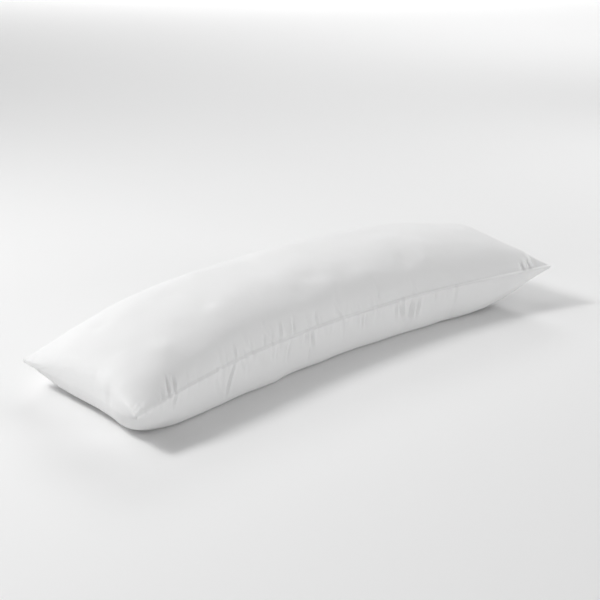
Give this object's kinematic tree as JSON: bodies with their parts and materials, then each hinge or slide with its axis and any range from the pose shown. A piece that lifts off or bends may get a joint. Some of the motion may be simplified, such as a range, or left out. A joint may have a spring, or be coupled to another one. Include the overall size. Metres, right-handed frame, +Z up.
{
  "type": "body pillow",
  "caption": "Long filled body pillow of plain white cloth, knife-edge seam all round, lying flat and gently bowed.",
  "frame": {"origin": "middle of the pillow's box on the surface it rests on", "axes": "+X along the pillow, +Y towards the side that bows out, +Z up through its thickness"},
  "size_m": [1.33, 0.5493, 0.22],
  "materials": {
    "white_cloth": "matte plain-weave cotton"
  },
  "bodies": {
    "root": {"pillow": "white_cloth"}
  },
  "joints": []
}
